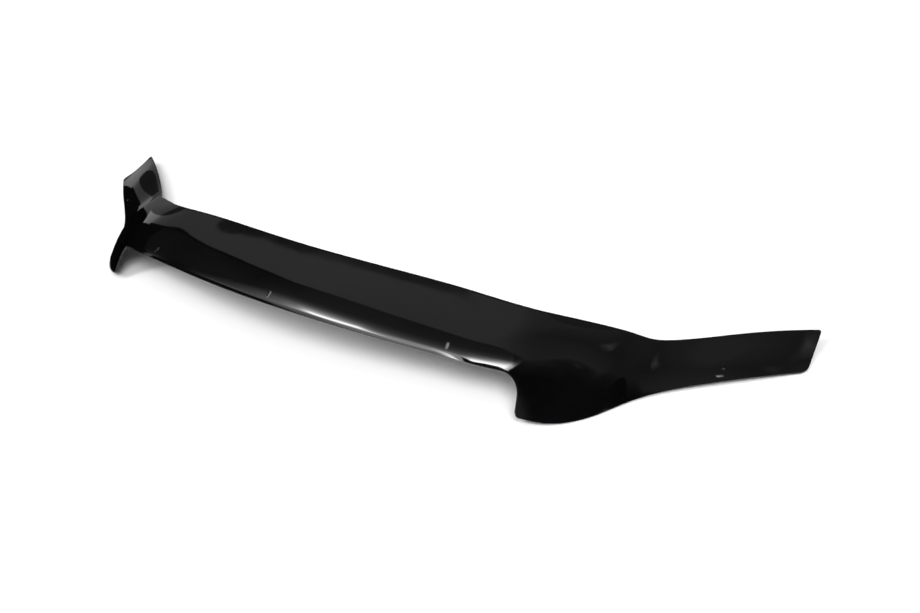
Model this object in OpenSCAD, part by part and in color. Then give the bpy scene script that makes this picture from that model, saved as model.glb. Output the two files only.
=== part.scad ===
// Hood deflector: one thermoformed sheet that clips to the front edge of a car's hood.
// X runs across the car, -Y is forward and +Z is up. The deflector lies outer face up, on the
// corners of its two lobes and on the tips of its wings. X = 0 is the plane of symmetry, and Z = 0
// is the surface that it lies on.

/* [Sheet] */
// Thickness of the sheet
sheet_t = 3; // [2:0.5:5]
// Width across both wing tips
overall_w = 1400; // [1300:10:1500]

/* [Centre panel] */
// Depth of the panel at the centre, from the upper edge to the foot line
panel_d = 132; // [120:1:145]
// Height of the upper edge at the centre
panel_h = 120; // [108:1:130]
// Height at which the centre section would end if it were not cut for the grille
arch_h = 47; // [38:1:54]
// Share of the centre section that is kept above the grille opening
arch_cut = 0.67; // [0.62:0.01:0.74]
// How far the centre stands forward of a lobe's inner corner
bow = 38; // [20:1:52]
// Height of the turned-down lip along the grille opening
lip_h = 7; // [4:0.5:10]
// How far the lip is turned in under the panel
lip_turn = 2.5; // [0:0.5:4]

/* [Lobes] */
// Width of the grille opening, between the inner corners of the two lobes
lobe_gap = 792; // [720:2:820]
// Width of a lobe's foot, from its inner to its outer corner
lobe_w = 83; // [74:1:100]
// How far a lobe's outer corner lies behind its inner one
lobe_sweep = 59; // [46:1:72]
// Depth of the sheet at a lobe
lobe_d = 140; // [128:1:152]
// Height of the upper edge above the middle of a lobe
lobe_h = 74; // [64:1:82]
// How far a lobe's foot line lies outboard of the upper edge at its inner side
flare = 30; // [18:1:40]
// Height of a lobe's inner foot corner above the surface
foot_lift = 15; // [8:1:20]
// Radius where the grille opening meets a lobe
notch_r = 26; // [14:1:34]
// Radius of a lobe's inner foot corner
foot_r = 7; // [4:1:12]

/* [Wings] */
// How far the foot of a wing tip lies behind the foot at the centre
sweep = 312; // [285:1:335]
// Depth of a wing at its tip
tip_d = 80; // [70:1:90]
// Height of the upper edge at a wing tip
tip_h = 20; // [15:1:26]
// Height of the upper edge where a wing leaves its lobe
root_h = 32.5; // [27:0.5:38]
// How far the lower edge rises from the surface along a wing
wing_lift = 5; // [3:0.5:9]
// Radius of the upper corner of a wing tip
tip_upper_r = 6; // [3:1:12]
// Radius of the lower corner of a wing tip
tip_lower_r = 10; // [4:1:16]

/* [Clip holes] */
// Length of a clip slot
slot_l = 11; // [8:0.5:14]
// Width of a clip slot
slot_w = 5; // [3:0.5:6]
// Distance of the panel's slots from the bend of the lip
slot_rise = 9; // [7:0.5:14]
// Distance from the centre to the outer slots of the panel
slot_pitch = 288; // [200:2:300]
// Distance from the centre to a wing's slot
wing_slot_x = 602; // [560:2:640]
// Diameter of the screw hole behind a wing's slot
screw_d = 6; // [4:0.5:8]
// Distance from a wing's slot to its screw hole
screw_gap = 14; // [10:1:20]

/* [Hidden] */

sheet_colour = "#141416";
half_w = overall_w / 2;
lobe_in = lobe_gap / 2;
lobe_out = lobe_in + lobe_w;
corner_back = bow + lobe_sweep;
function mix(a, b, share) = a + (b - a) * share;

// Stations on one half, from the centre (0) to a tip (1): centre, quarter, inner corner, middle
// and outer corner of a lobe, root and middle of a wing, tip.
at = [0, 0.30, 0.50, 0.57, 0.64, 0.72, 0.85, 1];
lobe_t = at[2];
last = len(at) - 1;

// Foot line: where each station's section ends, before anything is cut away.
foot_x = [0, 0.68 * lobe_in, lobe_in, mix(lobe_in, lobe_out, 0.52), lobe_out,
          mix(lobe_out, half_w, 0.177), mix(lobe_out, half_w, 0.6), half_w];
foot_back = [0, 0.57 * bow, bow, mix(bow, corner_back, 0.35), corner_back,
             mix(corner_back, sweep, 0.27), mix(corner_back, sweep, 0.66), sweep];
foot_z = [arch_h, 0.61 * arch_h, foot_lift, 0.32 * foot_lift, 0.65 * sheet_t,
          1.2 * sheet_t, sheet_t + wing_lift, 1.1 * sheet_t];

// Upper edge: how far it lies inboard of the foot line, behind it and above the surface.
inboard = flare * [0, 0.68, 0.99, 0.79, 0.09, 0.23, 0.17, 0.09];
depth = [panel_d, mix(panel_d, lobe_d, 0.55), mix(panel_d, lobe_d, 0.78), lobe_d,
         mix(tip_d, lobe_d, 0.8), mix(tip_d, lobe_d, 0.33), mix(tip_d, lobe_d, 0.21), tip_d];
upper_z = [panel_h, mix(lobe_h, panel_h, 0.64), mix(lobe_h, panel_h, 0.31), lobe_h,
           mix(root_h, lobe_h, 0.56), root_h, mix(root_h, tip_h, 0.68), tip_h];

// Shape of the sections: fall of the sheet at the upper edge, lean of its foot from upright, and
// the lengths of the two tangents as shares of the section's chord.
fall = [7, 9.5, 4, -3, 3.5, 8.5, 10, 17];
lean = [-13, -5, 35, 52, 43, 55, 68, 90];
upper_pull = [0.52, 0.52, 0.49, 0.45, 0.42, 0.36, 0.33, 0.33];
foot_pull = [0.43, 0.37, 0.42, 0.40, 0.39, 0.34, 0.34, 0.35];

// The lip fades out between these two stations.
lip_full = 0.30;
lip_gone = 0.40;

// Mesh: rows down the sheet, and columns in each stretch of a half.
panel_rows = 14;
skirt_rows = 8;
panel_cols = 18;
notch_cols = 6;
wing_cols = 26;
corner_cols = 5;
eps = 0.001;
cut_reach = 20;

function unit(v) = v / norm(v);
function flat(list) = [for (part = list) for (item = part) item];
function reversed(list) = [for (k = [len(list) - 1:-1:0]) list[k]];
function both_halves(list) = concat([for (k = [last:-1:1]) list[k]], list);

// The section at station k is a cubic curve with these four control points, from the upper edge
// down to the foot.
function section(k) =
    let (foot = [foot_x[k], foot_back[k], foot_z[k]],
         upper = [foot.x - inboard[k], foot.y + depth[k], upper_z[k]],
         chord = norm(foot - upper),
         out = unit([foot.x - upper.x, foot.y - upper.y, 0]))
    [upper,
     upper + upper_pull[k] * chord * (cos(fall[k]) * out - [0, 0, sin(fall[k])]),
     foot + foot_pull[k] * chord * ([0, 0, cos(lean[k])] - sin(lean[k]) * out),
     foot];
function mirrored(points) = [for (p = points) [-p.x, p.y, p.z]];

// Stations and sections from the left tip to the right one.
stations = concat([for (k = [last:-1:1]) -at[k]], at);
sections = concat([for (k = [last:-1:1]) mirrored(section(k))], [for (k = [0:last]) section(k)]);
spans = len(stations) - 1;
span = [for (k = [0:spans - 1]) stations[k + 1] - stations[k]];

// Second derivatives, at the stations, of the natural spline through the values v there.
function rise(v, k) = (v[k + 1] - v[k]) / span[k];
function forward(v, k) =
    k == 0 ? [0, 0 * v[0]] :
    let (before = forward(v, k - 1),
         pivot = 2 * (span[k - 1] + span[k]) - span[k - 1] * before[0])
    [span[k] / pivot, (6 * (rise(v, k) - rise(v, k - 1)) - span[k - 1] * before[1]) / pivot];
function bend(v, k) =
    k == 0 || k == spans ? 0 * v[0] :
    let (f = forward(v, k)) f[1] - f[0] * bend(v, k + 1);
function bends(v) = [for (k = [0:spans]) bend(v, k)];

// Value of the spline at t.
function span_of(t, k = 0) = k >= spans - 1 || t < stations[k + 1] ? k : span_of(t, k + 1);
function spline(v, bend_list, t) =
    let (k = span_of(t),
         b = (t - stations[k]) / span[k],
         a = 1 - b)
    a * v[k] + b * v[k + 1]
    + ((a ^ 3 - a) * bend_list[k] + (b ^ 3 - b) * bend_list[k + 1]) * span[k] ^ 2 / 6;

// Control points of the section at t, and the point of a section at the share v of its length.
section_bends = bends(sections);
function loft(t) = spline(sections, section_bends, t);
function along(c, v) = [(1 - v) ^ 3, 3 * v * (1 - v) ^ 2, 3 * v ^ 2 * (1 - v), v ^ 3] * c;
function face(t, v) = along(loft(t), v);

// Length of the sheet per unit of v and of t.
function run_v(t, v) = let (c = loft(t)) norm(along(c, v + eps) - along(c, v - eps)) / (2 * eps);
function run_t(t, v) = norm(face(t + eps, v) - face(t - eps, v)) / (2 * eps);

// Share of the section that is kept above the grille opening, a little less at the quarters, and
// the round notch beside a lobe.
cut_dip = 0.04;
cut_share = both_halves([arch_cut, arch_cut - cut_dip, for (k = [2:last]) arch_cut]);
cut_bends = bends(cut_share);
mm_at_cut = 1 / run_v(lobe_t - 0.05, arch_cut);
notch_t = notch_r / run_t(lobe_t - 0.01, arch_cut);
function notch_drop(t) =
    let (d = min(1, max(0, (t - lobe_t + notch_t) / notch_t)))
    notch_r * (1 - sqrt(1 - d * d));
function cut_v(t) = spline(cut_share, cut_bends, t) + notch_drop(abs(t)) * mm_at_cut;

// Rounding of a corner of radius r at the distance d from the end of the sheet.
function corner(r, d) = d >= r ? 0 : r - sqrt(max(0, r * r - (r - d) ^ 2));
foot_run = run_t(lobe_t + 0.01, 0.9);
mm_at_foot = 1 / run_v(lobe_t, 0.9);
tip_run = run_t(1 - 0.01, 0.5);
mm_at_tip = 1 / run_v(1 - 0.01, 0.5);
function first_v(t) = corner(tip_upper_r, (1 - abs(t)) * tip_run) * mm_at_tip;
function last_v(t) =
    1 - corner(tip_lower_r, (1 - abs(t)) * tip_run) * mm_at_tip
    - corner(foot_r, (abs(t) - lobe_t) * foot_run) * mm_at_foot;

// Places of the columns on one half, close together where a corner is round.
foot_t = foot_r / foot_run;
tip_t = tip_lower_r / tip_run;
wing_t = lobe_t + foot_t;
half_t = concat(
    [for (i = [1:panel_cols]) (lobe_t - notch_t) * i / panel_cols],
    [for (i = [1:notch_cols]) lobe_t - notch_t + notch_t * sin(90 * i / notch_cols)],
    [for (i = [1:corner_cols]) lobe_t + foot_t * (1 - cos(90 * i / corner_cols))],
    [for (i = [1:wing_cols]) wing_t + (1 - tip_t - wing_t) * i / wing_cols],
    [for (i = [1:corner_cols]) 1 - tip_t + tip_t * sin(90 * i / corner_cols)]);
cols_t = concat([for (t = reversed(half_t)) -t], [0], half_t);
last_col = len(cols_t) - 1;

// The columns of the panel end at the lip. Those of the lobes and wings go on down the skirt.
all_rows = panel_rows + skirt_rows;
rows = [for (t = cols_t) abs(t) > lobe_t - eps / 10 ? all_rows : panel_rows];

// Outer face, column by column. The panel's last row is the lip, turned in under the panel.
function fade(t) =
    let (s = min(1, max(0, (abs(t) - lip_full) / (lip_gone - lip_full))))
    1 - s * s * (3 - 2 * s);
function column(t, n) =
    let (c = loft(t),
         top = first_v(t),
         cut = cut_v(t),
         lip = cut - lip_h * mm_at_cut,
         low = last_v(t),
         out = unit([c[3].x - c[0].x, c[3].y - c[0].y, 0]),
         turned_in = -fade(t) * lip_turn * (out + [0, 0, 0.5]))
    concat([for (j = [0:panel_rows - 1]) along(c, top + (lip - top) * j / (panel_rows - 1))],
           [along(c, cut) + turned_in],
           [for (j = [1:n - panel_rows]) along(c, cut + (low - cut) * j / skirt_rows)]);
outer = [for (i = [0:last_col]) column(cols_t[i], rows[i])];

// Inner face, one thickness below the outer one. The normal comes from the neighbouring points.
function normal(i, j) =
    let (i0 = i > 0 && j <= rows[i - 1] ? i - 1 : i,
         i1 = i < last_col && j <= rows[i + 1] ? i + 1 : i,
         j0 = max(j - 1, 0),
         j1 = min(j + 1, rows[i]))
    unit(cross(outer[i][j1] - outer[i][j0], outer[i1][j] - outer[i0][j]));
inner = [for (i = [0:last_col]) [for (j = [0:rows[i]]) outer[i][j] - sheet_t * normal(i, j)]];

// Faces of the closed sheet, seen from outside.
starts = [for (i = 0, s = 0; i <= last_col; s = s + rows[i] + 1, i = i + 1) s];
count = starts[last_col] + rows[last_col] + 1;
function out_id(i, j) = starts[i] + j;
function in_id(i, j) = count + starts[i] + j;
function quad(a, b, c, d) = [[a, b, c], [a, c, d]];
function band(i, j) = concat(
    quad(out_id(i, j), out_id(i + 1, j), out_id(i + 1, j + 1), out_id(i, j + 1)),
    quad(in_id(i, j), in_id(i, j + 1), in_id(i + 1, j + 1), in_id(i + 1, j)));
function upper_rim(i) = quad(out_id(i, 0), in_id(i, 0), in_id(i + 1, 0), out_id(i + 1, 0));
function lower_rim(i) =
    let (j = min(rows[i], rows[i + 1]))
    quad(out_id(i, j), out_id(i + 1, j), in_id(i + 1, j), in_id(i, j));
function left_rim(i, j) = quad(out_id(i, j), out_id(i, j + 1), in_id(i, j + 1), in_id(i, j));
function right_rim(i, j) = [for (tri = left_rim(i, j)) reversed(tri)];
left_notch = [for (i = [1:last_col]) if (rows[i] < rows[i - 1]) i - 1][0];
right_notch = [for (i = [1:last_col]) if (rows[i] > rows[i - 1]) i][0];
bands = flat([for (i = [0:last_col - 1]) for (j = [0:min(rows[i], rows[i + 1]) - 1]) band(i, j)]);
rims = flat([for (i = [0:last_col - 1]) concat(upper_rim(i), lower_rim(i))]);
sides = flat(concat(
    [for (j = [0:all_rows - 1]) left_rim(0, j)],
    [for (j = [0:all_rows - 1]) right_rim(last_col, j)],
    [for (j = [panel_rows:all_rows - 1]) right_rim(left_notch, j)],
    [for (j = [panel_rows:all_rows - 1]) left_rim(right_notch, j)]));

// The frame's origin is under the middle of the sheet, on the surface that it lies on.
sheet_points = flat(concat(outer, inner));
function lowest(axis) = min([for (p = sheet_points) p[axis]]);
function highest(axis) = max([for (p = sheet_points) p[axis]]);
to_origin = -[0, (lowest(1) + highest(1)) / 2, lowest(2)];

module sheet() {
    polyhedron(points = sheet_points, faces = concat(bands, rims, sides), convexity = 8);
}

// Station at which the outer face has the given X at the place v.
function t_of_x(x, v, lo = 0, hi = 1, n = 24) =
    n == 0 ? (lo + hi) / 2 :
    let (mid = (lo + hi) / 2)
    face(mid, v).x < x ? t_of_x(x, v, mid, hi, n - 1) : t_of_x(x, v, lo, mid, n - 1);

// Stands the children's Z along the sheet's normal, with their X running down the sheet.
function face_normal(t, v) =
    unit(cross(face(t, v + eps) - face(t, v - eps), face(t + eps, v) - face(t - eps, v)));
module on_face(t, v) {
    n = face_normal(t, v);
    translate(face(t, v)) rotate([0, acos(n.z), atan2(n.y, n.x)]) children();
}

module slot_cut(l, w) {
    half = (l - w) / 2;
    translate([-half, 0, -cut_reach]) cylinder(h = 2 * cut_reach, d = w, $fn = 24);
    translate([half, 0, -cut_reach]) cylinder(h = 2 * cut_reach, d = w, $fn = 24);
    translate([-half, -w / 2, -cut_reach]) cube([2 * half, w, 2 * cut_reach]);
}

// The slots of the panel run down it and end above the bend of the lip.
wing_slot_v = 0.885;
module panel_slot(t) {
    v = cut_v(t) - (lip_h + slot_rise) * mm_at_cut;
    on_face(t, v) slot_cut(slot_l, slot_w);
}

// The screw holes are drilled straight down, so that both wings are held by upright screws.
screw_v = wing_slot_v - screw_gap / run_v(t_of_x(wing_slot_x, wing_slot_v), wing_slot_v);
module wing_slot(side) {
    on_face(side * t_of_x(wing_slot_x, wing_slot_v), wing_slot_v)
        rotate([0, 0, 90]) slot_cut(slot_l, slot_w);
}
module screw_hole(side) {
    translate(face(side * t_of_x(wing_slot_x, screw_v), screw_v) - [0, 0, cut_reach])
        cylinder(h = 2 * cut_reach, d = screw_d, $fn = 24);
}

module deflector() {
    pitch_t = t_of_x(slot_pitch, arch_cut);
    color(sheet_colour) translate(to_origin) difference() {
        sheet();
        for (t = [-pitch_t, 0, pitch_t]) panel_slot(t);
        for (side = [-1, 1]) {
            wing_slot(side);
            screw_hole(side);
        }
    }
}

deflector();
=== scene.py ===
import math
import bpy
import numpy as np
from mathutils import Matrix, Vector


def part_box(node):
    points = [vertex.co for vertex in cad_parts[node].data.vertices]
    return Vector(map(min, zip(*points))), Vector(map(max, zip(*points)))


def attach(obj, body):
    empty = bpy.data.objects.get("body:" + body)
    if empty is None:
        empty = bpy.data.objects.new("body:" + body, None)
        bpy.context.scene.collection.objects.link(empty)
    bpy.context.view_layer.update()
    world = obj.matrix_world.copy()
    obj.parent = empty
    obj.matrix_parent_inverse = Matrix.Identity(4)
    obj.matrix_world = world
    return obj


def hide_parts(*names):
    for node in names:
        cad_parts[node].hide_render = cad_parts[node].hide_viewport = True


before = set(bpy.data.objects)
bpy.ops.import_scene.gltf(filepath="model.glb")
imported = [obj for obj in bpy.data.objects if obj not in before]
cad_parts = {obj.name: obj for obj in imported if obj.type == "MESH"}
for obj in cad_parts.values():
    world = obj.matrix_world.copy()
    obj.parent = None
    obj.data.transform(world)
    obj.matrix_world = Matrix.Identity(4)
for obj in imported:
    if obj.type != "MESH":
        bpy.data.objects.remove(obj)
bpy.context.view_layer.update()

# Hood deflector: one thermoformed sheet of glossy black acrylic, seen as it lies on a pale floor.
# The sheet is worked out in millimetres, and its finished mesh is brought to metres and to its
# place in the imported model's frame. The studio and the camera are in metres.
MM = 0.001

# Sizes, the same as in the solid model
SHEET_T = 3.0        # thickness of the sheet
HALF_W = 700.0       # from the centre to a wing's tip
PANEL_D = 132.0      # depth of the centre panel, from the upper edge to the foot line
PANEL_H = 120.0      # height of its upper edge
ARCH_H = 47.0        # height at which its section would end uncut
ARCH_CUT = 0.67      # share of its section kept above the grille opening
CUT_DIP = 0.04       # how much less of it is kept at the quarters
BOW = 38.0           # how far the centre stands forward of a lobe's inner corner
LIP_H = 7.0          # height of the lip along the grille opening
LIP_TURN = 2.5       # how far the lip is turned in under the panel
LIP_DROP = 0.5       # how far it drops, as a share of that
LIP_FULL = 0.30      # station up to which the lip is whole
LIP_GONE = 0.40      # station at which it has faded out
LOBE_IN = 396.0      # from the centre to a lobe's inner corner
LOBE_W = 83.0        # width of a lobe's foot
LOBE_SWEEP = 59.0    # how far a lobe's outer corner lies behind its inner one
LOBE_D = 140.0       # depth of the sheet at a lobe
LOBE_H = 74.0        # height of the upper edge above the middle of a lobe
FLARE = 30.0         # how far a lobe's foot line lies outboard of the upper edge
FOOT_LIFT = 15.0     # height of a lobe's inner foot corner
FOOT_R = 7.0         # radius of that corner
NOTCH_R = 26.0       # radius where the grille opening meets a lobe
NOTCH_FADE = 26.0    # distance over which the mesh round the notch goes straight again
SWEEP = 312.0        # how far the foot of a wing's tip lies behind the centre's
TIP_D = 80.0         # depth of a wing at its tip
TIP_H = 20.0         # height of the upper edge at the tip
TIP_UPPER_R = 6.0    # radius of the tip's upper corner
TIP_LOWER_R = 10.0   # radius of the tip's lower corner
ROOT_H = 32.5        # height of the upper edge where a wing leaves its lobe
WING_LIFT = 5.0      # how far the lower edge rises along a wing
SLOT_L = 11.0        # length of a clip slot
SLOT_W = 5.0         # width of a clip slot
SLOT_RISE = 9.0      # distance of the panel's slots from the bend of the lip
SLOT_PITCH = 288.0   # from the centre to the panel's outer slots
WING_SLOT_X = 602.0  # from the centre to a wing's slot
WING_SLOT_V = 0.885  # place of a wing's slot, as a share of the section
SCREW_D = 6.0        # diameter of a screw hole
SCREW_GAP = 14.0     # from a wing's slot to its screw hole
CUTTER_REACH = 20.0  # how far a cutter stands out on each side of the sheet
ARRIS = 0.5          # width of the broken edge
LOBE_OUT = LOBE_IN + LOBE_W
CORNER_BACK = BOW + LOBE_SWEEP


def mix(a, b, share):
    """The value at a share of the way from a to b."""
    return a + (b - a) * share


# Stations on one half, from the centre (0) to a tip (1): centre, quarter, inner corner, middle
# and outer corner of a lobe, root and middle of a wing, tip
AT = [0, 0.30, 0.50, 0.57, 0.64, 0.72, 0.85, 1]
LOBE_T = AT[2]
# Foot line: where each section ends before anything is cut away
FOOT_X = [0, 0.68 * LOBE_IN, LOBE_IN, mix(LOBE_IN, LOBE_OUT, 0.52), LOBE_OUT,
          mix(LOBE_OUT, HALF_W, 0.177), mix(LOBE_OUT, HALF_W, 0.6), HALF_W]
FOOT_BACK = [0, 0.57 * BOW, BOW, mix(BOW, CORNER_BACK, 0.35), CORNER_BACK,
             mix(CORNER_BACK, SWEEP, 0.27), mix(CORNER_BACK, SWEEP, 0.66), SWEEP]
FOOT_Z = [ARCH_H, 0.61 * ARCH_H, FOOT_LIFT, 0.32 * FOOT_LIFT, 0.65 * SHEET_T,
          1.2 * SHEET_T, SHEET_T + WING_LIFT, 1.1 * SHEET_T]
# Upper edge: how far it lies inboard of the foot line and behind it, and its height
INBOARD = [FLARE * s for s in (0, 0.68, 0.99, 0.79, 0.09, 0.23, 0.17, 0.09)]
DEPTH = [PANEL_D, mix(PANEL_D, LOBE_D, 0.55), mix(PANEL_D, LOBE_D, 0.78), LOBE_D,
         mix(TIP_D, LOBE_D, 0.8), mix(TIP_D, LOBE_D, 0.33), mix(TIP_D, LOBE_D, 0.21), TIP_D]
UPPER_Z = [PANEL_H, mix(LOBE_H, PANEL_H, 0.64), mix(LOBE_H, PANEL_H, 0.31), LOBE_H,
           mix(ROOT_H, LOBE_H, 0.56), ROOT_H, mix(ROOT_H, TIP_H, 0.68), TIP_H]
# Sections: fall of the sheet at the upper edge and lean of its foot from upright, in degrees, and
# the lengths of the two tangents as shares of the chord
FALL = [7, 9.5, 4, -3, 3.5, 8.5, 10, 17]
LEAN = [-13, -5, 35, 52, 43, 55, 68, 90]
UPPER_PULL = [0.52, 0.52, 0.49, 0.45, 0.42, 0.36, 0.33, 0.33]
FOOT_PULL = [0.43, 0.37, 0.42, 0.40, 0.39, 0.34, 0.34, 0.35]


def unit(v):
    """v with the length 1."""
    return v / np.linalg.norm(v, axis=-1, keepdims=True)


def section(k):
    """Four control points of the section at station k, from the upper edge to the foot."""
    foot = np.array([FOOT_X[k], FOOT_BACK[k], FOOT_Z[k]])
    upper = np.array([foot[0] - INBOARD[k], foot[1] + DEPTH[k], UPPER_Z[k]])
    chord = np.linalg.norm(foot - upper)
    out = unit((foot - upper) * [1, 1, 0])
    up = np.array([0, 0, 1.0])
    fall, lean = math.radians(FALL[k]), math.radians(LEAN[k])
    return np.array([
        upper,
        upper + UPPER_PULL[k] * chord * (math.cos(fall) * out - math.sin(fall) * up),
        foot + FOOT_PULL[k] * chord * (math.cos(lean) * up - math.sin(lean) * out),
        foot])


def natural_spline(x, y):
    """Second derivatives at x of the natural cubic spline through y."""
    n = len(x)
    h = np.diff(x)
    a = np.eye(n)
    b = np.zeros_like(y)
    for k in range(1, n - 1):
        a[k, k - 1:k + 2] = h[k - 1], 2 * (h[k - 1] + h[k]), h[k]
        b[k] = 6 * ((y[k + 1] - y[k]) / h[k] - (y[k] - y[k - 1]) / h[k - 1])
    return np.linalg.solve(a, b)


def spline(x, y, bend, t):
    """The spline through y at x, with the second derivatives bend, at each t."""
    k = np.clip(np.searchsorted(x, t, side="right") - 1, 0, len(x) - 2)
    h = x[k + 1] - x[k]
    b = (t - x[k]) / h
    a = 1 - b
    a, b, h = (q.reshape(q.shape + (1,) * (y.ndim - 1)) for q in (a, b, h))
    curve = (a ** 3 - a) * bend[k] + (b ** 3 - b) * bend[k + 1]
    return a * y[k] + b * y[k + 1] + curve * h * h / 6


# Sections, and the share kept above the grille opening, from the left tip to the right one
RIGHT = np.array([section(k) for k in range(len(AT))])
SECTIONS = np.concatenate([RIGHT[:0:-1] * [-1, 1, 1], RIGHT])
STATIONS = np.array([-t for t in AT[:0:-1]] + AT, float)
FLAT_SECTIONS = SECTIONS.reshape(len(STATIONS), -1)
SECTION_BENDS = natural_spline(STATIONS, FLAT_SECTIONS).reshape(SECTIONS.shape)
CUT_RIGHT = [ARCH_CUT, ARCH_CUT - CUT_DIP] + [ARCH_CUT] * (len(AT) - 2)
CUT_SHARE = np.array(CUT_RIGHT[:0:-1] + CUT_RIGHT)
CUT_BENDS = natural_spline(STATIONS, CUT_SHARE)


def loft(t):
    """Control points of the section at t."""
    return spline(STATIONS, SECTIONS, SECTION_BENDS, np.asarray(t, float))


def along(c, v):
    """Point at v of the section with the control points c."""
    v = np.asarray(v, float)
    w = np.stack([(1 - v) ** 3, 3 * v * (1 - v) ** 2, 3 * v * v * (1 - v), v ** 3], -1)
    return (w[..., None] * c).sum(-2)


def face(t, v):
    """Points of the sheet's outer face, t across the car and v down the section."""
    return along(loft(t), v)


def cut_v(t):
    """Share of the section kept above the grille opening."""
    return spline(STATIONS, CUT_SHARE, CUT_BENDS, np.asarray(t, float))


# Step in t and v over which the sheet is measured
STEP = 0.001


def run_v(t, v):
    """Millimetres of sheet per unit of v."""
    return float(np.linalg.norm(face(t, v + STEP) - face(t, v - STEP)) / (2 * STEP))


def run_t(t, v):
    """Millimetres of sheet per unit of t."""
    return float(np.linalg.norm(face(t + STEP, v) - face(t - STEP, v)) / (2 * STEP))


# The same at the cut, at a lobe's foot corner and at the tip, each measured a little way off
PANEL_SIDE = 0.05
BESIDE = 0.01
LOW_V = 0.9
MIDDLE_V = 0.5
MM_AT_CUT = 1 / run_v(LOBE_T - PANEL_SIDE, ARCH_CUT)
MM_AT_FOOT = 1 / run_v(LOBE_T, LOW_V)
MM_AT_TIP = 1 / run_v(1 - BESIDE, MIDDLE_V)
NOTCH_RUN = run_t(LOBE_T - BESIDE, ARCH_CUT)
FOOT_RUN = run_t(LOBE_T + BESIDE, LOW_V)
TIP_RUN = run_t(1 - BESIDE, MIDDLE_V)


def face_normal(t, v):
    """Direction in which the outer face looks."""
    down = face(t, v + STEP) - face(t, v - STEP)
    across = face(t + STEP, v) - face(t - STEP, v)
    return unit(np.cross(down, across))


# Halvings in the search for a station, which leave less than a thousandth of a millimetre
HALVINGS = 24


def t_of_x(x, v):
    """Station at which the outer face has the given x at the place v."""
    lo, hi = 0.0, 1.0
    for _ in range(HALVINGS):
        mid = (lo + hi) / 2
        lo, hi = (mid, hi) if face(mid, v)[0] < x else (lo, mid)
    return (lo + hi) / 2


# Mesh of the sheet: the rows run across the car and the columns down the sections. A row or
# column EDGE_LOOP from each edge holds the shading up to it.
EDGE_LOOP = 1.2
PANEL_ROWS = 22
SKIRT_ROWS = 13
PANEL_COLS = 84
NOTCH_COLS = 12
WING_COLS = 92
# Distances in mm of the columns from a lobe's inner side and from the tip, where corners are round
LOBE_SIDE = (EDGE_LOOP, 2.8, 4.6, FOOT_R, 10.5)
TIP_SIDE = (8, 6, 4.2, 2.6, EDGE_LOOP, 0)
# The lip's rows, in lip heights past its bend, which is rounded over LIP_BEND to each side
LIP_BEND = 0.25
LIP_STEPS = [-0.5, -LIP_BEND, -0.12, 0, 0.12, LIP_BEND, 0.6, 1 - EDGE_LOOP / LIP_H, 1]


def half_columns():
    """Places across one half, closer together at the notch, the lobe's edge and the tip."""
    notch = LOBE_T - NOTCH_R / NOTCH_RUN
    cols = list(np.linspace(0, notch, PANEL_COLS))
    cols += list(np.linspace(notch, LOBE_T, NOTCH_COLS)[1:])
    cols += [LOBE_T + d / FOOT_RUN for d in LOBE_SIDE]
    tip = 1 - TIP_LOWER_R / TIP_RUN
    cols += list(np.linspace(cols[-1], tip, WING_COLS)[1:])
    cols += [1 - d / TIP_RUN for d in TIP_SIDE]
    return cols


def row_places(t):
    """Places down the section at t: the panel, the bend and flat of the lip, then the skirt."""
    cut = float(cut_v(t))
    lip = cut - LIP_H * MM_AT_CUT
    bend = [lip + s * LIP_H * MM_AT_CUT for s in LIP_STEPS]
    panel = [0] + list(np.linspace(EDGE_LOOP * MM_AT_TIP, bend[0], PANEL_ROWS)[:-1])
    first, last = cut + EDGE_LOOP * MM_AT_CUT, 1 - EDGE_LOOP * MM_AT_FOOT
    skirt = list(np.linspace(first, last, SKIRT_ROWS)) + [1]
    return panel + bend + skirt


def round_corner(d, h, r):
    """Moves a point at the distances d and h from two edges so that their corner is round."""
    if d >= r or h >= r:
        return d, h
    reach = max(r - d, r - h)
    length = math.hypot(r - d, r - h)
    return r - reach * (r - d) / length, r - reach * (r - h) / length


def notch_shift(x, y, r, spread):
    """Shift in mm at x outboard of and y below the inner corner of the cut, to make it round."""
    side = -x if y <= 0 and x < 0 else (y if x >= 0 and y > 0 else 0)
    depth = -y if x < 0 else (x if y > 0 else x - y)
    if side >= r:
        return 0.0, 0.0
    psi = math.pi / 4 * (1 - side / r)
    out, down = -r + r * math.sin(psi) + side, r - r * math.cos(psi)
    if x >= 0 and y > 0:
        out, down = -down, -out
    fade = math.exp(-depth / spread)
    return out * fade, down * fade


def lip_fade(t):
    """How much of the lip's turn is left at t."""
    s = min(1, max(0, (abs(t) - LIP_FULL) / (LIP_GONE - LIP_FULL)))
    return 1 - s * s * (3 - 2 * s)


def lip_turned(x):
    """How far the lip is turned at x lip heights past its bend, with the bend rounded."""
    if x <= -LIP_BEND:
        return 0.0
    return (x + LIP_BEND) ** 2 / (4 * LIP_BEND) if x < LIP_BEND else x


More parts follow.
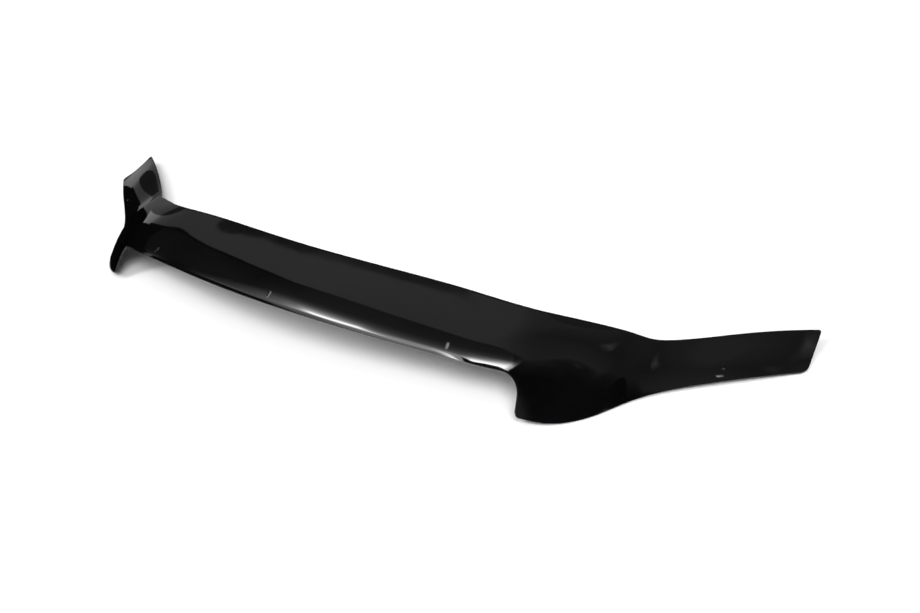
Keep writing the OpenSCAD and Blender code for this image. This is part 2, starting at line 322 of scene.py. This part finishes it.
def place(t, v):
    """Point of the sheet for a vertex at column t and row v, with its corners rounded."""
    side = 1 if t >= 0 else -1
    a = abs(t)
    cut = float(cut_v(t))
    turn = lip_turned((v - cut) / (LIP_H * MM_AT_CUT) + 1) if a < LOBE_T else 0
    dx, dy = (a - LOBE_T) * NOTCH_RUN, (v - cut) / MM_AT_CUT
    out, down = notch_shift(dx, dy, NOTCH_R, NOTCH_FADE)
    a, v = a + out / NOTCH_RUN, v + down * MM_AT_CUT
    if dx >= 0 and dy > 0:
        d, h = round_corner((a - LOBE_T) * FOOT_RUN, (1 - v) / MM_AT_FOOT, FOOT_R)
        a, v = LOBE_T + d / FOOT_RUN, 1 - h * MM_AT_FOOT
    end = (1 - a) * TIP_RUN
    if end < TIP_LOWER_R:
        low, h = round_corner(end, (1 - v) / MM_AT_TIP, TIP_LOWER_R)
        top, g = round_corner(end, v / MM_AT_TIP, TIP_UPPER_R)
        a = 1 - (low if v > MIDDLE_V else top) / TIP_RUN
        v = 1 - h * MM_AT_TIP if v > MIDDLE_V else g * MM_AT_TIP
    c = loft(side * a)
    out_way = unit((c[3] - c[0]) * [1, 1, 0])
    return along(c, v) - lip_fade(a) * LIP_TURN * turn * (out_way + [0, 0, LIP_DROP])


def deselect():
    """Leaves edit mode with nothing selected."""
    if bpy.context.mode != "OBJECT":
        bpy.ops.object.mode_set(mode="OBJECT")
    bpy.ops.object.select_all(action="DESELECT")


def make_active(piece):
    """Selects one piece alone."""
    deselect()
    piece.select_set(True)
    bpy.context.view_layer.objects.active = piece


def apply_modifier(piece, kind, **settings):
    """Adds a modifier with its settings and applies it."""
    make_active(piece)
    bpy.ops.object.modifier_add(type=kind)
    modifier = piece.modifiers[-1]
    for name, value in settings.items():
        setattr(modifier, name, value)
    bpy.ops.object.modifier_apply(modifier=modifier.name)


# The blank: a flat grid, drawn over the form as a heated sheet is
GRID_W = 2   # width of the grid before it is drawn
HAIR = 1e-6  # keeps the column at a lobe's inner side out of the opening
half = half_columns()
columns = [-t for t in half[:0:-1]] + half
rows = [row_places(t) for t in columns]
row_count = len(rows[0])
last_panel_row = row_count - (SKIRT_ROWS + 2)
deselect()
bpy.ops.mesh.primitive_grid_add(x_subdivisions=len(columns) - 1, y_subdivisions=row_count - 1,
                                size=GRID_W)
sheet = bpy.context.object
sheet.name = "deflector_sheet"
opening = []
for vertex in sheet.data.vertices:
    i = round((vertex.co.x / GRID_W + 0.5) * (len(columns) - 1))
    j = round((0.5 - vertex.co.y / GRID_W) * (row_count - 1))
    opening.append(abs(columns[i]) < LOBE_T - HAIR and j > last_panel_row)
    vertex.co = Vector(place(columns[i], rows[i][j]))

# The grille opening is trimmed out of the blank
bpy.ops.object.mode_set(mode="EDIT")
bpy.ops.mesh.select_all(action="DESELECT")
bpy.ops.object.mode_set(mode="OBJECT")
for vertex, gone in zip(sheet.data.vertices, opening):
    vertex.select = gone
bpy.ops.object.mode_set(mode="EDIT")
bpy.ops.mesh.delete(type="VERT")
bpy.ops.mesh.select_all(action="SELECT")
bpy.ops.mesh.normals_make_consistent(inside=False)
bpy.ops.object.mode_set(mode="OBJECT")
if sum(p.normal.z * p.area for p in sheet.data.polygons) < 0:
    sheet.data.flip_normals()

# The thickness of the sheet, with the arris of its trimmed edges broken
EDGE_ANGLE = math.radians(60)    # an edge sharper than this is broken
SMOOTH_ANGLE = math.radians(40)  # an edge blunter than this is shaded smooth
apply_modifier(sheet, "SOLIDIFY", thickness=SHEET_T, offset=-1, use_even_offset=True,
               use_quality_normals=True, material_offset_rim=1)
apply_modifier(sheet, "BEVEL", width=ARRIS, segments=2, limit_method="ANGLE",
               angle_limit=EDGE_ANGLE, use_clamp_overlap=True)

# How far it has to move to lie on the floor, in the middle of the CAD node's box
low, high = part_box("deflector")
co = np.array([v.co for v in sheet.data.vertices])
middle_y = (low.y + high.y) / 2 / MM
shift = Vector((0, middle_y - (co[:, 1].min() + co[:, 1].max()) / 2, -co[:, 2].min()))

# Sides of a round cutter, and how near to its middle a vertex counts as lying there
CUTTER_SIDES = 32
ON_AXIS = 1e-4


def cutter(name, length, width):
    """A drill or slot cutter, long in its own X, that runs along its own Z."""
    deselect()
    bpy.ops.mesh.primitive_cylinder_add(vertices=CUTTER_SIDES, radius=width / 2,
                                        depth=2 * CUTTER_REACH)
    tool = bpy.context.object
    tool.name = name
    half_straight = (length - width) / 2
    for vertex in tool.data.vertices:
        if abs(vertex.co.x) > ON_AXIS:
            vertex.co.x += math.copysign(half_straight, vertex.co.x)
    return tool


def stand_on_face(tool, t, v, turn=0.0):
    """Stands a cutter upright on the outer face, turned about itself."""
    n = face_normal(t, v)
    heading = Matrix.Rotation(math.atan2(n[1], n[0]), 4, "Z")
    tilt = heading @ Matrix.Rotation(math.acos(n[2]), 4, "Y")
    spin = Matrix.Rotation(turn, 4, "Z")
    tool.data.transform(Matrix.Translation(Vector(face(t, v))) @ tilt @ spin)


def cut(tool):
    """Cuts the sheet with a cutter and takes the cutter away."""
    apply_modifier(sheet, "BOOLEAN", operation="DIFFERENCE", object=tool, solver="EXACT")
    bpy.data.objects.remove(tool)


# Three clip slots in the panel, and a slot with a screw hole behind it in each wing
pitch_t = t_of_x(SLOT_PITCH, ARCH_CUT)
for k, t in enumerate((-pitch_t, 0.0, pitch_t)):
    tool = cutter(f"panel_slot_{k}", SLOT_L, SLOT_W)
    stand_on_face(tool, t, float(cut_v(t)) - (LIP_H + SLOT_RISE) * MM_AT_CUT)
    cut(tool)
wing_t = t_of_x(WING_SLOT_X, WING_SLOT_V)
screw_v = WING_SLOT_V - SCREW_GAP / run_v(wing_t, WING_SLOT_V)
screw_t = t_of_x(WING_SLOT_X, screw_v)
for side in (-1, 1):
    tool = cutter(f"wing_slot_{side}", SLOT_L, SLOT_W)
    stand_on_face(tool, side * wing_t, WING_SLOT_V, math.pi / 2)
    cut(tool)
    tool = cutter(f"screw_hole_{side}", SCREW_D, SCREW_D)
    tool.data.transform(Matrix.Translation(Vector(face(side * screw_t, screw_v))))
    cut(tool)

sheet.data.transform(Matrix.Scale(MM, 4) @ Matrix.Translation(shift))
make_active(sheet)
bpy.ops.object.shade_smooth_by_angle(angle=SMOOTH_ANGLE)


# Materials
def linear(hex_colour):
    """An sRGB hex colour as linear red, green, blue and alpha."""
    parts = [int(hex_colour[k:k + 2], 16) / 255 for k in (1, 3, 5)]
    return [p / 12.92 if p <= 0.04045 else ((p + 0.055) / 1.055) ** 2.4 for p in parts] + [1.0]


def add_node(owner, kind, settings=None, inputs=None, links=None):
    """Adds a node to a material or world: settings, values of sockets, links from other sockets."""
    node = owner.node_tree.nodes.new(kind)
    for name, value in (settings or {}).items():
        setattr(node, name, value)
    for name, value in (inputs or {}).items():
        node.inputs[name].default_value = value
    for name, socket in (links or {}).items():
        owner.node_tree.links.new(socket, node.inputs[name])
    return node


def new_material(name):
    """A material with no nodes yet."""
    material = bpy.data.materials.new(name)
    material.use_nodes = True
    material.node_tree.nodes.clear()
    return material


# Index of refraction of acrylic, and how many times a pattern repeats in a metre of it
ACRYLIC_IOR = 1.49
DRAW_WAVES = 9.0    # slow waves of the drawn skin, one each 110 mm
HAZE_SPOTS = 60.0   # spots of polish, one each 17 mm
TOOL_MARKS = 700.0  # a router's marks, one each 1.4 mm, coarser than real ones so that they show


def gloss_black():
    """Thermoformed cast acrylic: a deep black with a polished skin that mirrors the studio.

    The skin pulls in slow waves, which bend the reflections a little, and its polish varies.
    """
    m = new_material("gloss_black_acrylic")
    place_on = add_node(m, "ShaderNodeTexCoord").outputs["Object"]
    pull = add_node(m, "ShaderNodeTexNoise", inputs={"Scale": DRAW_WAVES, "Detail": 2.0},
                    links={"Vector": place_on})
    haze = add_node(m, "ShaderNodeTexNoise", inputs={"Scale": HAZE_SPOTS, "Detail": 4.0},
                    links={"Vector": place_on})
    tone = add_node(m, "ShaderNodeValToRGB", links={"Fac": pull.outputs["Fac"]})
    dark, light = tone.color_ramp.elements
    dark.position = 0.3
    dark.color = linear("#050506")
    light.position = 0.7
    light.color = linear("#080809")
    rough = add_node(m, "ShaderNodeMapRange", links={"Value": haze.outputs["Fac"]},
                     inputs={"From Min": 0.3, "From Max": 0.7, "To Min": 0.03, "To Max": 0.055})
    wave = add_node(m, "ShaderNodeBump", inputs={"Strength": 0.12, "Distance": 0.0004},
                    links={"Height": pull.outputs["Fac"]})
    shader = add_node(m, "ShaderNodeBsdfPrincipled", inputs={"IOR": ACRYLIC_IOR},
                      links={"Base Color": tone.outputs["Color"],
                             "Roughness": rough.outputs["Result"],
                             "Normal": wave.outputs["Normal"]})
    add_node(m, "ShaderNodeOutputMaterial", links={"Surface": shader.outputs["BSDF"]})
    return m


def trimmed_edge():
    """The same acrylic where a router trimmed it: satin, a little paler, with fine tool marks."""
    m = new_material("trimmed_acrylic_edge")
    place_on = add_node(m, "ShaderNodeTexCoord").outputs["Object"]
    marks = add_node(m, "ShaderNodeTexNoise", inputs={"Scale": TOOL_MARKS, "Detail": 2.0},
                     links={"Vector": place_on})
    rough = add_node(m, "ShaderNodeMapRange", links={"Value": marks.outputs["Fac"]},
                     inputs={"To Min": 0.22, "To Max": 0.38})
    bump = add_node(m, "ShaderNodeBump", inputs={"Strength": 0.3, "Distance": 0.0001},
                    links={"Height": marks.outputs["Fac"]})
    tone = add_node(m, "ShaderNodeValToRGB", links={"Fac": marks.outputs["Fac"]})
    tone.color_ramp.elements[0].color = linear("#101112")
    tone.color_ramp.elements[1].color = linear("#1C1D1F")
    shader = add_node(m, "ShaderNodeBsdfPrincipled", inputs={"IOR": ACRYLIC_IOR},
                      links={"Base Color": tone.outputs["Color"],
                             "Roughness": rough.outputs["Result"],
                             "Normal": bump.outputs["Normal"]})
    add_node(m, "ShaderNodeOutputMaterial", links={"Surface": shader.outputs["BSDF"]})
    return m


sheet.data.materials.clear()
sheet.data.materials.append(gloss_black())
sheet.data.materials.append(trimmed_edge())
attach(sheet, "root")
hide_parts("deflector")


# Studio, in metres: a pale floor and three soft lamps
FLOOR_W = 16.0
WHITE_FROM = 0.8  # distance from the object at which the floor starts to be held white
WHITE_AT = 5.0    # distance at which it is white whatever the lamps give


def eye_and_mirrors(owner):
    """1 for what the camera and the reflections see, 0 for the light that falls on the object."""
    path = add_node(owner, "ShaderNodeLightPath")
    seen = add_node(owner, "ShaderNodeMath", {"operation": "MAXIMUM"},
                    links={0: path.outputs["Is Camera Ray"], 1: path.outputs["Is Glossy Ray"]})
    seen_too = add_node(owner, "ShaderNodeMath", {"operation": "MAXIMUM"},
                        links={0: seen.outputs["Value"],
                               1: path.outputs["Is Transmission Ray"]})
    return seen_too.outputs["Value"]


def pale_floor():
    """White paper. Away from the object it stays white for the eye where the lamps fall off."""
    m = new_material("white_paper_sweep")
    place_on = add_node(m, "ShaderNodeTexCoord").outputs["Object"]
    fibre = add_node(m, "ShaderNodeTexNoise", inputs={"Scale": 3.0, "Detail": 3.0},
                     links={"Vector": place_on})
    tone = add_node(m, "ShaderNodeValToRGB", links={"Fac": fibre.outputs["Fac"]})
    tone.color_ramp.elements[0].color = linear("#F6F6F6")
    tone.color_ramp.elements[1].color = linear("#FAFAFA")
    paper = add_node(m, "ShaderNodeBsdfDiffuse", links={"Color": tone.outputs["Color"]})
    away = add_node(m, "ShaderNodeVectorMath", {"operation": "LENGTH"}, links={0: place_on})
    white = add_node(m, "ShaderNodeMapRange", links={"Value": away.outputs["Value"]},
                     inputs={"From Min": WHITE_FROM, "From Max": WHITE_AT, "To Max": 1.0})
    held = add_node(m, "ShaderNodeMath", {"operation": "MULTIPLY"},
                    links={0: white.outputs["Result"], 1: eye_and_mirrors(m)})
    glow = add_node(m, "ShaderNodeEmission", links={"Strength": held.outputs["Value"]})
    both = add_node(m, "ShaderNodeAddShader",
                    links={0: paper.outputs["BSDF"], 1: glow.outputs["Emission"]})
    add_node(m, "ShaderNodeOutputMaterial", links={"Surface": both.outputs["Shader"]})
    return m


deselect()
bpy.ops.mesh.primitive_grid_add(x_subdivisions=8, y_subdivisions=8, size=FLOOR_W)
floor = bpy.context.object
floor.name = "floor"
floor.data.materials.append(pale_floor())


def soft_box(name, place_at, size, strength):
    """An area lamp of size (x, y), turned to the object, with strength in W per square metre.

    It isn't mirrored itself: the gloss mirrors the cards instead.
    """
    lamp = bpy.data.lights.new(name, "AREA")
    lamp.shape = "RECTANGLE"
    lamp.size, lamp.size_y = size
    lamp.energy = strength * size[0] * size[1]
    holder = bpy.data.objects.new(name, lamp)
    bpy.context.scene.collection.objects.link(holder)
    holder.location = place_at
    to_object = Vector((0, 0, 0)) - Vector(place_at)
    holder.rotation_euler = to_object.to_track_quat("-Z", "Y").to_euler()
    holder.visible_glossy = False


# What the gloss mirrors: cards at one height, seen by reflections alone. A card is a grid of
# points (x, y, strength), where a strength of 1 is paper white.
CARD_H = 2.2
STOPS = 8.0  # a card's strength may run over this many stops above and below paper white


def hang(thing):
    """Puts a card or a flag into the studio, where only reflections see it."""
    if not thing.users_collection:
        bpy.context.scene.collection.objects.link(thing)
    thing.visible_camera = False
    thing.visible_diffuse = False
    thing.visible_shadow = False


def lit_card():
    """White card under a light of its own: it glows, and its map gives the strength in stops."""
    m = new_material("lit_white_card")
    at = add_node(m, "ShaderNodeUVMap", {"uv_map": "stops"})
    split = add_node(m, "ShaderNodeSeparateXYZ", links={"Vector": at.outputs["UV"]})
    stop = add_node(m, "ShaderNodeMapRange", inputs={"To Min": -STOPS, "To Max": STOPS},
                    links={"Value": split.outputs["X"]})
    level = add_node(m, "ShaderNodeMath", {"operation": "POWER"}, inputs={0: 2.0},
                     links={1: stop.outputs["Result"]})
    glow = add_node(m, "ShaderNodeEmission", links={"Strength": level.outputs["Value"]})
    add_node(m, "ShaderNodeOutputMaterial", links={"Surface": glow.outputs["Emission"]})
    return m


LIT_CARD = lit_card()


def card(name, lines, drop=0.0):
    """A lit card from lines of points. Its strength runs smoothly from point to point."""
    mesh = bpy.data.meshes.new(name)
    width = len(lines[0])
    spots = [spot for line in lines for spot in line]
    faces = [(i * width + j, i * width + j + 1, (i + 1) * width + j + 1, (i + 1) * width + j)
             for i in range(len(lines) - 1) for j in range(width - 1)]
    mesh.from_pydata([Vector((x, y, CARD_H - drop)) for x, y, level in spots], [], faces)
    stops = mesh.uv_layers.new(name="stops")
    for loop, corner in zip(stops.data, mesh.loops):
        level = spots[corner.vertex_index][2]
        loop.uv = (math.log2(level) / (2 * STOPS) + 0.5, 0.5)
    mesh.materials.append(LIT_CARD)
    hang(bpy.data.objects.new(name, mesh))


def graded(x, ys, levels):
    """One line of a card at x: its places in y with their strengths."""
    return [(x, y, level) for y, level in zip(ys, levels)]


# The grey panel overhead and behind. It runs on to the left, where the horizon is mirrored, and
# darkens to the right. Its front edge is crisp on the left and fades out over a length on the
# right. Behind its rear edge the studio is almost black.
CRISP = 0.01      # length of a crisp edge
LONG_FADE = 0.05  # an edge that fades over at least this much ends almost black
FADED = 0.02      # strength at the end of such a fade
BEHIND = 1.2      # how far the almost black part goes on behind the panel


def panel_line(x, fade, low, middle, high, at_low, at_middle, at_high, behind):
    """One line of the panel at x: its places in y, front to rear, and its strengths there."""
    end = at_low if fade < LONG_FADE else FADED
    return graded(x, (low - fade, low, middle, high, high + CRISP, high + BEHIND),
                  (end, at_low, at_middle, at_high, behind, behind))


card("back_panel", [
    panel_line(-8.85, CRISP, 3.65, 3.9, 4.2, 0.55, 0.55, 0.5, 0.04),
    panel_line(-6.6, CRISP, 2.7, 2.9, 3.1, 0.28, 0.28, 0.25, 0.04),
    panel_line(-4.4, CRISP, 1.76, 1.9, 2.06, 0.22, 0.22, 0.22, 0.04),
    panel_line(-4.1, CRISP, 1.64, 1.85, 2.005, 0.22, 0.22, 0.22, 0.04),
    panel_line(-3.77, CRISP, 1.55, 1.75, 1.985, 0.23, 0.23, 0.23, 0.04),
    panel_line(-3.26, CRISP, 1.37, 1.63, 1.86, 0.25, 0.25, 0.25, 0.04),
    panel_line(-2.7, CRISP, 1.15, 1.43, 1.67, 0.28, 0.28, 0.28, 0.05),
    panel_line(-2.2, CRISP, 0.97, 1.25, 1.5, 0.32, 0.32, 0.32, 0.06),
    panel_line(-1.6, CRISP, 0.73, 1.0, 1.33, 0.37, 0.37, 0.37, 0.1),
    panel_line(-1.2, CRISP, 0.64, 0.95, 1.235, 0.4, 0.4, 0.4, 0.12),
    panel_line(-0.85, CRISP, 0.55, 0.85, 1.17, 0.41, 0.41, 0.41, 0.12),
    panel_line(-0.64, CRISP, 0.51, 0.8, 1.145, 0.41, 0.41, 0.41, 0.12),
    panel_line(-0.34, CRISP, 0.46, 0.8, 1.26, 0.41, 0.41, 0.41, 0.12),
    panel_line(-0.02, CRISP, 0.44, 0.9, 1.5, 0.4, 0.39, 0.37, 0.12),
    panel_line(0.28, CRISP, 0.36, 1.12, 2.2, 0.38, 0.24, 0.2, 0.12),
    panel_line(0.6, 0.04, 0.26, 1.1, 2.25, 0.32, 0.15, 0.19, 0.12),
    panel_line(1.1, 0.2, 0.1, 1.1, 2.25, 0.28, 0.12, 0.18, 0.12),
    panel_line(1.45, 0.5, -0.05, 1.1, 2.3, 0.25, 0.11, 0.14, 0.12),
    panel_line(2.1, 0.9, 0.0, 1.2, 2.7, 0.22, 0.1, 0.13, 0.12),
    panel_line(3.0, 1.2, 0.6, 1.6, 3.2, 0.12, 0.11, 0.15, 0.15),
    panel_line(5.0, 1.5, 1.2, 2.2, 4.5, 0.1, 0.12, 0.15, 0.15)])
# Two softboxes in front, which fade towards the back, with a dim gap between them. FADE is the
# strength along a softbox from the back to the front, and DIM the same in the gap.
FADE = (0.1, 0.16, 0.55, 3.0, 14.0, 26.0, 26.0)
DIM = (0.1, 0.16, 0.5, 1.6, 3.5, 5.0, 5.0)
LEFT_YS = (0.0, -0.22, -0.48, -0.75, -0.95, -1.3)
card("left_softbox", [
    graded(-4.2, (1.6,) + LEFT_YS, (0.02, 0.03, 0.08, 0.15, 0.2, 0.3, 0.3)),
    graded(-2.3, (0.95,) + LEFT_YS, (0.02, 0.08, 0.3, 0.6, 0.9, 1.2, 1.2)),
    graded(-1.5, (0.68,) + LEFT_YS, (0.04, 0.15, 0.5, 1.3, 2.0, 2.6, 3.0)),
    graded(-1.2, (0.63,) + LEFT_YS, (0.08, 0.15, 0.55, 2.0, 4.5, 6.0, 8.0)),
    graded(-1.0, (0.6,) + LEFT_YS, FADE),
    graded(-0.5, (0.48, 0.0, -0.24, -0.48, -0.75, -0.95, -1.3), FADE),
    graded(-0.4, (0.46, 0.0, -0.25, -0.48, -0.75, -0.95, -1.3), DIM),
    graded(-0.2, (0.44, 0.0, -0.25, -0.5, -0.75, -1.0, -1.3), DIM)])
card("right_softbox", [
    graded(-0.2, (0.44, 0.0, -0.25, -0.5, -0.7, -0.85, -1.0), DIM),
    graded(0.05, (0.42, 0.0, -0.28, -0.51, -0.72, -0.85, -0.98), FADE),
    graded(0.5, (0.3, 0.0, -0.28, -0.45, -0.68, -0.8, -0.93), FADE),
    graded(1.05, (0.14, 0.0, -0.28, -0.39, -0.57, -0.75, -0.91), FADE),
    graded(1.3, (0.02, -0.07, -0.25, -0.38, -0.53, -0.75, -0.95), FADE),
    graded(1.56, (-0.1, -0.15, -0.25, -0.38, -0.53, -0.75, -1.0),
           (0.1, 0.15, 0.4, 1.5, 6.0, 8.0, 8.0)),
    graded(1.64, (-0.12, -0.18, -0.25, -0.38, -0.53, -0.8, -1.05),
           (0.1, 0.1, 0.1, 0.3, 0.5, 0.5, 0.5))])
# A white card in front of the left softbox, which the lip mirrors
LIP_YS = (-1.3, -2.2, -4.0, -16.0)
card("lip_card", [
    graded(-6.0, LIP_YS, (0.3, 0.8, 1.2, 1.5)),
    graded(-2.3, LIP_YS, (1.2, 1.5, 1.8, 1.9)),
    graded(-1.5, LIP_YS, (3.0, 4.0, 3.0, 1.9)),
    graded(-1.2, LIP_YS, (8.0, 8.0, 3.0, 1.9)),
    graded(-1.0, LIP_YS, (26.0, 20.0, 3.0, 1.9)),
    graded(-0.5, LIP_YS, (26.0, 20.0, 3.0, 1.9)),
    graded(-0.35, LIP_YS, (5.0, 5.0, 3.0, 1.9)),
    graded(-0.22, LIP_YS, (5.0, 5.0, 3.0, 1.9))])
# Its neighbour on the right, which draws the thin line of light along the edge beside the notch
RIGHT_YS = (-1.9, -2.6, -4.0, -16.0)
card("lip_card_right", [
    graded(-0.22, RIGHT_YS, (0.1, 4.0, 4.0, 1.9)),
    graded(1.8, RIGHT_YS, (0.1, 4.0, 4.0, 1.9)),
    graded(2.2, RIGHT_YS, (0.03, 0.2, 0.4, 1.0)),
    graded(6.0, RIGHT_YS, (0.03, 0.1, 0.2, 0.6))])
# A small pale card where the right wing's tip mirrors it, hung a little below the panel
TIP_CARD_DROP = 0.005
card("tip_card", [
    [(1.15, 1.25, 0.12), (1.32, 1.4, 0.15), (1.45, 1.72, 0.14)],
    [(1.35, 1.1, 0.2), (1.5, 1.38, 0.55), (1.62, 1.72, 0.2)],
    [(1.6, 0.95, 0.12), (1.8, 1.3, 0.4), (1.9, 1.72, 0.12)]], TIP_CARD_DROP)


def flag(name, corners, glow=0.0):
    """Cloth between four corners: black felt, or a paler one that gives a dim glow."""
    deselect()
    bpy.ops.mesh.primitive_plane_add(size=1)
    thing = bpy.context.object
    thing.name = name
    for vertex, corner in zip(thing.data.vertices, corners):
        vertex.co = Vector(corner)
    m = new_material("flag_cloth")
    cloth = add_node(m, "ShaderNodeEmission", inputs={"Strength": glow})
    add_node(m, "ShaderNodeOutputMaterial", links={"Surface": cloth.outputs["Emission"]})
    thing.data.materials.append(m)
    hang(thing)


# Black above the cards
TENT = 17.0
TENT_H = 2.3
flag("ceiling_flag", [(x, y, TENT_H) for y in (-TENT, TENT) for x in (-TENT, TENT)])
# Black and dim flags on the wall beyond the left end, each from one y to the next
WALL_X = -8.9
for name, front, rear, glow in (("left_flag", -12.0, 3.5, 0.0),
                                ("left_strip", 3.5, 4.25, 0.6),
                                ("left_wall", 4.25, 9.0, 0.17)):
    flag(name, [(WALL_X, y, z) for z in (0.0, CARD_H) for y in (front, rear)], glow)
# Black and dim flags on the floor beside the left end. Each front and rear edge has one y at the
# far side and one next to the object.
FLOOR_FLAG_X = (-8.8, -0.47)
FLOOR_FLAG_H = 0.0005
for name, front, rear, glow in (("floor_flag", (-4.5, -0.6), (3.8, 0.0), 0.0),
                                ("floor_strip", (3.8, 0.0), (6.0, 0.4), 0.18)):
    flag(name, [(x, y, FLOOR_FLAG_H) for ys in (front, rear) for x, y in zip(FLOOR_FLAG_X, ys)],
         glow)

# Three soft lamps, which light the floor and the object
soft_box("left_lamp", (-2.4, -2.8, 4.1), (1.2, 2.6), 37.0)
soft_box("right_lamp", (2.4, -2.6, 4.1), (3.0, 2.0), 34.0)
soft_box("overhead_fill", (0.0, 0.0, 3.2), (7.0, 7.0), 2.0)

# Beyond the floor the studio is white for the eye and in reflections, and gives little light
WORLD_LIGHT = 0.1
world = bpy.data.worlds.new("studio")
bpy.context.scene.world = world
world.use_nodes = True
world.node_tree.nodes.clear()
world_strength = add_node(world, "ShaderNodeMapRange", links={"Value": eye_and_mirrors(world)},
                          inputs={"To Min": WORLD_LIGHT, "To Max": 1.0})
sky = add_node(world, "ShaderNodeBackground", inputs={"Color": linear("#FFFFFF")},
               links={"Strength": world_strength.outputs["Result"]})
add_node(world, "ShaderNodeOutputWorld", links={"Surface": sky.outputs["Background"]})


# Camera at the photograph's place: azimuth, elevation and roll in degrees, focal length in pixels
AZIMUTH = 35.268
ELEVATION = 35.310
ROLL = 5.368
FOCAL_PX = 887.98
FRAME_PX = 920
SENSOR_MM = 36
EYE = (0.84804, -0.90051, 0.81060)


def photo_camera():
    """Puts the camera at EYE and makes it the scene's own."""
    a, e, r = (math.radians(q) for q in (AZIMUTH, ELEVATION, ROLL))
    right = Vector((math.cos(a), math.sin(a), 0))
    up = Vector((-math.sin(a) * math.sin(e), math.cos(a) * math.sin(e), math.cos(e)))
    ahead = Vector((-math.sin(a) * math.cos(e), math.cos(a) * math.cos(e), -math.sin(e)))
    right_r = math.cos(r) * right - math.sin(r) * up
    up_r = math.sin(r) * right + math.cos(r) * up
    turn = Matrix((right_r, up_r, -ahead)).transposed().to_4x4()
    lens = bpy.data.cameras.new("photo_camera")
    lens.sensor_width = SENSOR_MM
    lens.lens = SENSOR_MM * FOCAL_PX / FRAME_PX
    lens.clip_start = 0.01
    holder = bpy.data.objects.new("photo_camera", lens)
    bpy.context.scene.collection.objects.link(holder)
    holder.matrix_world = Matrix.Translation(Vector(EYE)) @ turn
    bpy.context.scene.camera = holder


photo_camera()
bpy.context.scene.view_settings.view_transform = "Standard"
